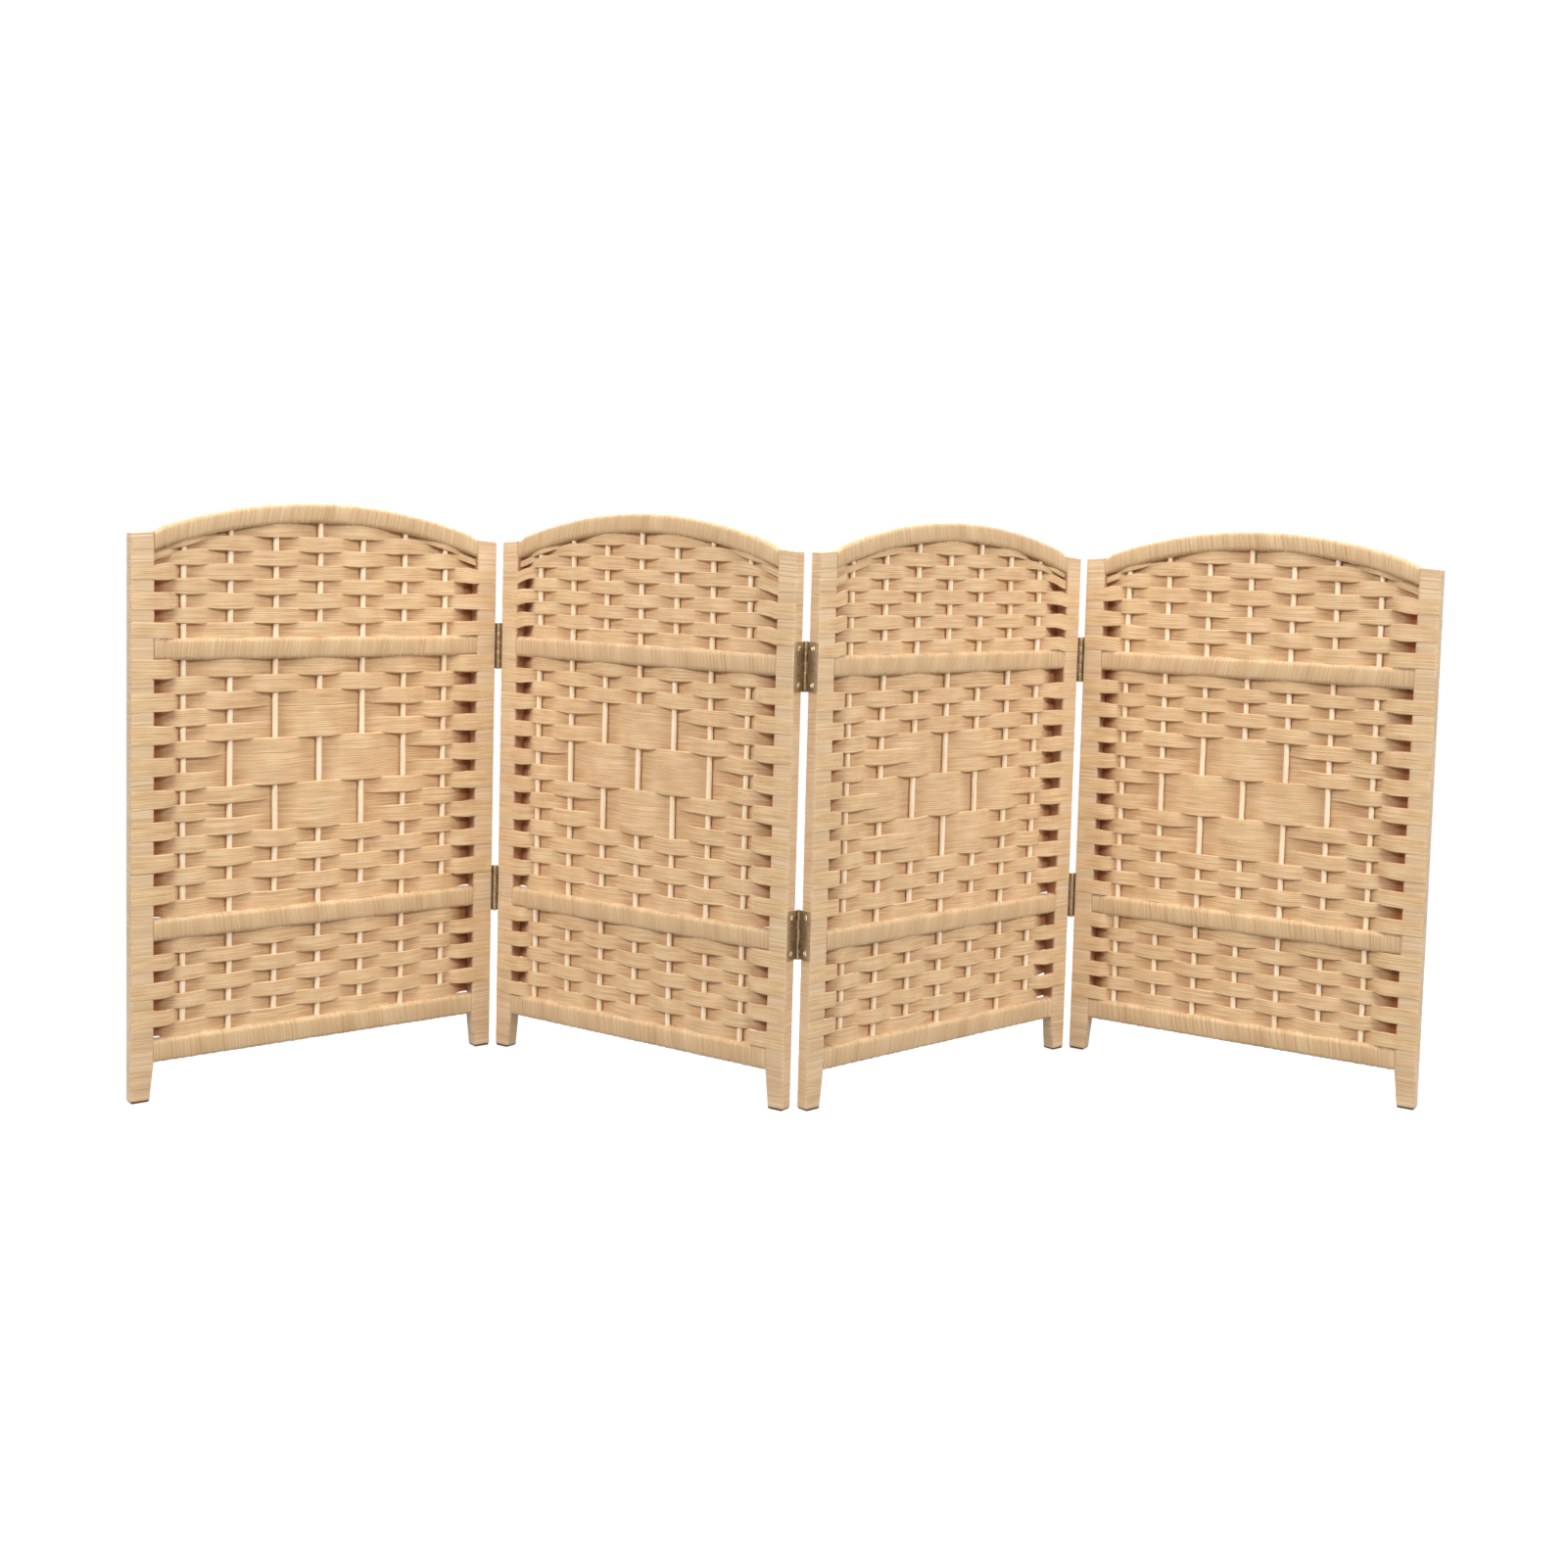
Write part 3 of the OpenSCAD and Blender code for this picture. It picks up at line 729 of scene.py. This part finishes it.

# Painted shade: a darker brown painted in the holes beside the stiles, where shade falls
painted_hole_shade = tone(166, 102, 54)
# How much painted shade a band gets beside a stick and in a hole, and where in a hole it grows
painted_shade_by_stick, painted_shade_in_hole, hole_start, hole_length = 0.22, 0.75, 0.6, 2.4
twisted_paper = fibre_material(
    "twisted_paper", "UV", scales=(22, 560, 34, 0.3),
    colours=[tone(194, 152, 108), tone(222, 186, 140), tone(240, 212, 171)],
    roughness=(0.6, 0.48), bump=0.00012, painted_shade=painted_hole_shade, **thin_paper,
)
chance = random.Random(5)
for i in range(panel_count):
    for field in fields:
        rows = band_rows[field][i]
        depths = [
            [band_depth(field, i, row, u) for u in band_places] for row in range(1, rows + 1)
        ]
        shape = bmesh.new()
        lines = []
        for row in range(rows + 1):
            wander = drift(chance, size=0.65, shortest=42)
            slack = drift(chance, size=0.45, shortest=60)
            # The line between two bands, as (height, reach past it, how far they part)
            line = []
            for n, u in enumerate(band_places):
                middle_line = row_line(field, i, row, u)
                if row in (0, rows):
                    outside = share(abs(depths[min(row, rows - 1)][n]), on_stile, onto_stile)
                    line.append((middle_line, tucked + (edge_tuck[row > 0] - tucked) * outside, 0))
                    continue
                apart = abs(depths[row - 1][n] - depths[row][n]) / (2 * band_sway)
                reach = touching + (swell - touching) * min(1, swell_rate * apart) ** swell_power
                reach += stile_swell * share(apart, 1, stile_parting)
                line.append((middle_line + wander(u), reach - max(0, slack(u)), min(1, apart)))
            lines.append(line)
        for row in range(1, rows + 1):
            section = band_section(chance)
            ripple = drift(chance, size=0.5, shortest=26)
            depth, below, above = depths[row - 1], lines[row - 1], lines[row]
            steep = [
                abs(row_line(field, i, row, u + 1) - row_line(field, i, row, u - 1)) / 2
                * share(abs(depth[a]) / band_sway, 1, 1)
                for a, u in enumerate(band_places)
            ]

            def band_point(a, b):
                rise, thick = section[b]
                u = band_places[a]
                cover = steep_cover * steep[a] * (1 if depth[a] < 0 else front_share)
                hidden = hidden_cover * share(-depth[a], 0, band_sway)
                low = below[a][0] - below[a][1] - cover - hidden * below[a][2]
                high = above[a][0] + above[a][1] + cover * (row < rows) + hidden * above[a][2]
                crown = bulge * max(-1, min(1, depth[a] / band_sway)) * (1 - (2 * rise - 1) ** 2)
                crown *= 1 - over_stile(u)
                if a in (0, len(band_places) - 1):
                    crown = -math.copysign(end_turn, depth[a])
                v = panel_depth / 2 - depth[a] - crown + thick * half_thickness(u)
                return Vector((u, v, low + (high - low) * rise + ripple(u) * rise * (1 - rise)))

            def band_flat(a, b):
                rise = section[b % len(section)][0]
                around = rise if 2 * b <= len(section) else 2 - rise
                length = band_places[a] * millimetre + band_on_map * row
                return length, around * band_girth + band_round_map * row

            def band_painted_shade(a, b):
                """Painted shade on the side towards the panel's middle, most of all beside a stile.
                """
                within = section[b][1] * depth[a] >= 0
                beside_stick = painted_shade_by_stick * min(1, abs(depth[a]) / band_sway)
                deep = share(abs(depth[a]) - band_sway, hole_start, hole_length)
                return within * (beside_stick + painted_shade_in_hole * deep)

            rings, sides = len(band_places) - 1, len(section)
            wind(shape, rings, sides, band_point, band_flat, band_painted_shade)
        hand_over(
            shape, f"panel_{i + 1}_{field}_bands", in_panel[i], twisted_paper,
            f"panel_{i + 1}", f"panel_{i + 1}_{field}_weave",
        )


# Stile wrappings. The same paper is wound round each stile from the foot to the top, a band
# at a time, level with the rows of the weave. It leaves two millimetres of the foot bare and
# is folded over the top end.
foot_width, foot_chamfer, bare_foot = 20, 1, 2
foot_joints = [13, 24.5]
paper_thickness = 1
# The turns lie level at the top of a stile, and its inner side rises to meet the arch
stile_top, level_end, rising_from, end_rise = 572, 30, 480, 2.2


def stile_turns(i, right):
    """Heights of the joints between the turns of paper on a stile."""
    beside = panel_width - stile_width if right else stile_width
    joints = [bare_foot] + foot_joints + [bottom_rail[0]]
    for field in reversed(fields):
        joints += [row_line(field, i, row, beside) for row in range(band_rows[field][i] + 1)]
    return joints + [stile_top]


def stile_girth(z):
    """Width of a stile at a height: the foot tapers on its inner side."""
    if z >= bottom_rail[0]:
        return stile_width
    way = (z - foot_chamfer) / (bottom_rail[0] - foot_chamfer)
    return foot_width + (stile_width - foot_width) * way


# The sides of the stiles that face the holes get the same painted shade as the bands
wrapping_paper = fibre_material(
    "wrapping_paper", "UV", scales=(24, 560, 38, 0.35),
    colours=[tone(192, 155, 112), tone(218, 185, 146), tone(234, 208, 172)],
    roughness=(0.6, 0.48), bump=0.00012, painted_shade=painted_hole_shade, **thin_paper,
)
most_lean = 0.8
cord_sink, cord_sink_spread = 0.2, 0.16
joint_groove, cord_grooves, top_sink = 0.4, (0.02, 0.2), 0.3
# How far round the UV map a stile reaches, and how far the right one lies from the left
stile_girth_on_map, right_on_map = 0.08, 0.7
chance = random.Random(31)
for i in range(panel_count):
    shape = bmesh.new()
    for right in (False, True):
        joints = stile_turns(i, right)
        top = joints[-1]
        # How far each joint leans, across the stile and from front to back
        leans = [[chance.uniform(-most_lean, most_lean) for _ in range(2)] for _ in joints]
        leans[0] = (0, 0)
        # The inner wall from the top down, then the outer face from the foot up, cord by cord
        levels = [
            (z, -paper_thickness, (0, 0))
            for z in (top - paper_thickness, rising_from, bottom_rail[0], bare_foot)
        ]
        for n in range(len(joints) - 1):
            low, high = joints[n], joints[n + 1]
            cords = max(2, round((high - low) / cord_width))
            for cord in range(cords):
                raised = -cord_sink - chance.uniform(0, cord_sink_spread)
                groove = chance.uniform(*cord_grooves) if cord else joint_groove
                for part in (0, *cord_shoulders):
                    depth = raised if part else raised - groove
                    way = (cord + part) / cords
                    lean = [leans[n][k] * (1 - way) + leans[n + 1][k] * way for k in (0, 1)]
                    levels.append((low + (high - low) * way, depth, lean))
        levels.append((top, -top_sink, (0, 0)))
        ring = rounded_ring(stile_width, panel_depth, stile_edge)

        def stile_point(a, b):
            z, inset, (lean_u, lean_v) = levels[a]
            x, y, across, up = ring[b]
            narrow = stile_width - stile_girth(z)
            edge = stile_edge + inset
            u = x + edge * across - (narrow if across > 0.001 or x > stile_width / 2 else 0)
            v = y + edge * up
            leaning = lean_u * (2 * u / stile_width - 1) + lean_v * (2 * v / panel_depth - 1)
            z += leaning * share(top - z, 0, level_end)
            rising = max(0, (z - rising_from) / (top - rising_from)) ** 2
            z += rising * (end_rise * (u / stile_width) ** 2 + min(inset, 0))
            return Vector((panel_width - u if right else u, v, z))

        def stile_flat(a, b):
            length = levels[a][0] * millimetre + right_on_map * right
            return b / len(ring) * stile_girth_on_map, length

        def stile_painted_shade(a, b):
            """Painted shade on the side that faces the sticks, in the holes between the bands."""
            inward = max(0, ring[b][2])
            return painted_shade_in_hole * inward**4 if levels[a][0] > sum(bottom_rail) else 0

        wind(shape, len(levels) - 1, len(ring), stile_point, stile_flat, stile_painted_shade)
    hand_over(
        shape, f"panel_{i + 1}_wound_stiles", in_panel[i], wrapping_paper,
        f"panel_{i + 1}", f"panel_{i + 1}_stile_wraps",
    )


# Hinges. Each hinge line has two small butt hinges of pressed brass that has gone brown. Their
# leaves lie on the sides of the stiles, held by slotted screws with low round heads, and are
# rolled round a pin in five knuckles.
def metal_material(name, colours, roughness, patch, bump):
    """Metal in two colours, with the roughness of each, in patches of tarnish."""
    material = bpy.data.materials.new(name)
    material.use_nodes = True
    tree = material.node_tree
    tree.nodes.clear()
    coordinates = add_node(tree, "ShaderNodeTexCoord")
    tarnish = add_node(
        tree, "ShaderNodeTexNoise",
        {"Vector": coordinates.outputs["Object"], "Scale": patch, "Detail": 5.0, "Roughness": 0.65},
    )
    dark_end, pale_end = 0.35, 0.65
    ramp = add_node(tree, "ShaderNodeValToRGB", {"Fac": tarnish.outputs[0]})
    stops = ramp.color_ramp.elements
    stops[0].position, stops[1].position = dark_end, pale_end
    stops[0].color, stops[1].color = colours
    rough = add_node(
        tree, "ShaderNodeMapRange",
        {
            "Value": tarnish.outputs[0], "From Min": dark_end, "From Max": pale_end,
            "To Min": roughness[0], "To Max": roughness[1],
        },
    )
    dents = add_node(
        tree, "ShaderNodeBump", {"Height": tarnish.outputs[0], "Distance": bump, "Strength": 1.0},
    )
    shader = add_node(
        tree, "ShaderNodeBsdfPrincipled",
        {
            "Base Color": ramp.outputs["Color"],
            "Roughness": rough.outputs["Result"],
            "Normal": dents.outputs["Normal"],
            "Metallic": 1.0,
        },
    )
    add_node(tree, "ShaderNodeOutputMaterial", {"Surface": shader.outputs[0]})
    return material


brown_brass = metal_material(
    "brown_brass", colours=(tone(142, 122, 96), tone(178, 156, 124)), roughness=(0.5, 0.34),
    patch=260, bump=0.00006,
)
bright_brass = metal_material(
    "bright_brass", colours=(tone(214, 198, 170), tone(240, 228, 206)), roughness=(0.35, 0.2),
    patch=420, bump=0.00003,
)
leaf_height, leaf_thickness, leaf_reach = 51, 0.8, 16.2
knuckles, knuckle_gap, notch_edge = 5, 0.1, 1.53
roll_radius, roll_end, roll_steps = 1.28, math.radians(477), 14
sharp_angle, worn_edge = 0.8, 0.12
hinge_heights = (181, 456)


def hinge_place(k, right):
    """The place of hinge line k, with the timber on the side of x below zero."""
    edge = -half_slit if right else panel_width + half_slit
    return (
        in_panel[k + right] @ Matrix.Translation((edge, hinge_depth[k], 0))
        @ Matrix.Diagonal((-1 if right else 1, -hinge_side[k], 1, 1))
    )


def rolled_leaf(shape, first, middle_height):
    """A sheet cut with notches for the other leaf's knuckles, then rolled round the pin."""
    knuckle = (leaf_height - (knuckles - 1) * knuckle_gap) / knuckles
    feet = [-leaf_height / 2 + n * (knuckle + knuckle_gap) for n in range(knuckles)]
    cuts = [height for foot in feet for height in (foot, foot + knuckle)]
    # The flat part by its depth, then the roll by its share of the turn
    path = [(leaf_reach, 0), (notch_edge, 0), (0, 0)]
    path += [(None, n / roll_steps) for n in range(1, roll_steps + 1)]
    grid = bmesh.ops.create_grid(
        shape, x_segments=len(path) - 1, y_segments=len(cuts) - 1, size=1
    )["verts"]
    for vert in grid:
        vert.co.x = round((vert.co.x + 1) * (len(path) - 1) / 2)
        vert.co.y = round((vert.co.y + 1) * (len(cuts) - 1) / 2)
    faces = {face for vert in grid for face in vert.link_faces}
    notches = []
    for face in faces:
        middle_of = face.calc_center_median()
        gap, n = int(middle_of.y) % 2, int(middle_of.y) // 2
        if middle_of.x > 1 and (gap or n % 2 != first):
            notches.append(face)
    bmesh.ops.delete(shape, geom=notches, context="FACES")
    sheet = [face for face in faces if face.is_valid]
    edges = list({edge for face in sheet for edge in face.edges})
    lifted = bmesh.ops.extrude_face_region(shape, geom=sheet + edges, use_keep_orig=True)["geom"]
    outer = {item for item in lifted if isinstance(item, bmesh.types.BMVert)}
    corners = {vert for face in sheet for vert in face.verts} | outer
    for vert in corners:
        depth, turn = path[round(vert.co.x)]
        side = leaf_thickness / 2 * (-1 if vert in outer else 1)
        height = middle_height + cuts[round(vert.co.y)]
        if depth is not None:
            vert.co = (side - roll_radius, depth, height)
        else:
            angle = math.pi + (roll_end - math.pi) * turn
            radius = roll_radius - side
            vert.co = (radius * math.cos(angle), radius * math.sin(angle), height)
    shape.normal_update()
    sharp = {
        edge for vert in corners for edge in vert.link_edges
        if edge.is_manifold and edge.calc_face_angle() > sharp_angle
    }
    bmesh.ops.bevel(
        shape, geom=list(sharp), offset=worn_edge, offset_type="OFFSET", segments=2, profile=0.5,
        affect="EDGES", material=-1,
    )


# Steps round a pin or a shank, and round one half of a screw's head
round_steps, half_steps = 14, 8


def spun(shape, profile, place, steps=round_steps, angle=math.tau):
    """Spins a profile of (radius, height) about Z, closes it and puts it in its place."""
    line = [shape.verts.new((radius, 0, height)) for radius, height in profile]
    edges = [shape.edges.new(pair) for pair in zip(line, line[1:])]
    old = set(shape.verts) - set(line)
    bmesh.ops.spin(
        shape, geom=line + edges, cent=(0, 0, 0), axis=(0, 0, 1), angle=angle, steps=steps,
        use_merge=angle == math.tau,
    )
    fresh = [vert for vert in shape.verts if vert not in old]
    bmesh.ops.remove_doubles(shape, verts=fresh, dist=same_place)
    fresh = [vert for vert in fresh if vert.is_valid]
    rim = {edge for vert in fresh for edge in vert.link_edges if edge.is_boundary}
    if rim:
        bmesh.ops.holes_fill(shape, edges=list(rim), sides=0)
    bmesh.ops.transform(shape, matrix=place, verts=fresh)


# Profiles as (radius, height). A screw's head is two halves that leave a slot between them
screw_inset, half_slot, head_foot = 7, 0.3, -0.3
half_head = [(0, 0.6), (1.2, 0.52), (2.1, 0.3), (2.7, 0), (2.4, head_foot), (0, head_foot)]
shank = [(0, head_foot), (2.4, head_foot), (1.5, -0.9), (1.5, -9), (0.4, -11.9), (0, -11.9)]
pin_radius, pin_head = 0.8, 1.6
lower_end = [
    (0, -0.75), (1.0, -0.7), (1.5, -0.5), (pin_head, -0.3), (pin_head, -0.1), (pin_radius, -0.05),
]
upper_end = [
    (pin_radius, 0.02), (pin_head, 0.05), (pin_head, 0.7), (1.3, 1.2), (0.7, 1.45), (0, 1.5),
]
pin_line = [(radius, height - leaf_height / 2) for radius, height in lower_end]
pin_line += [(radius, height + leaf_height / 2) for radius, height in upper_end]
chance = random.Random(41)
for k in range(panel_count - 1):
    for right in (0, 1):
        hand = "right" if right else "left"
        leaves, screws = bmesh.new(), bmesh.new()
        for height in hinge_heights:
            rolled_leaf(leaves, right, height)
            for up in (-1, 1):
                slot_turn = Matrix.Rotation(chance.uniform(0, math.pi), 4, "Z")
                head = Matrix.Translation((
                    leaf_thickness / 2 - roll_radius, half_slit + panel_depth / 2,
                    height + up * (leaf_height / 2 - screw_inset),
                )) @ Matrix.Rotation(math.pi / 2, 4, "Y") @ slot_turn
                spun(screws, shank, head)
                for half in (0, math.pi):
                    aside = Matrix.Rotation(half, 4, "Z") @ Matrix.Translation((0, half_slot, 0))
                    spun(screws, half_head, head @ aside, half_steps, math.pi)
        body = f"panel_{k + 1 + right}"
        hand_over(
            leaves, f"hinge_{k + 1}_rolled_{hand}_leaves", hinge_place(k, right), brown_brass,
            body, f"hinge_{k + 1}_{hand}_leaves",
        )
        hand_over(
            screws, f"hinge_{k + 1}_slotted_{hand}_screws", hinge_place(k, right), bright_brass,
            body, f"hinge_{k + 1}_{hand}_screws",
        )
    pins = bmesh.new()
    for height in hinge_heights:
        spun(pins, pin_line, Matrix.Translation((0, 0, height)))
    hand_over(
        pins, f"hinge_{k + 1}_headed_pins", hinge_place(k, 0), bright_brass,
        f"panel_{k + 1}", f"hinge_{k + 1}_pins",
    )
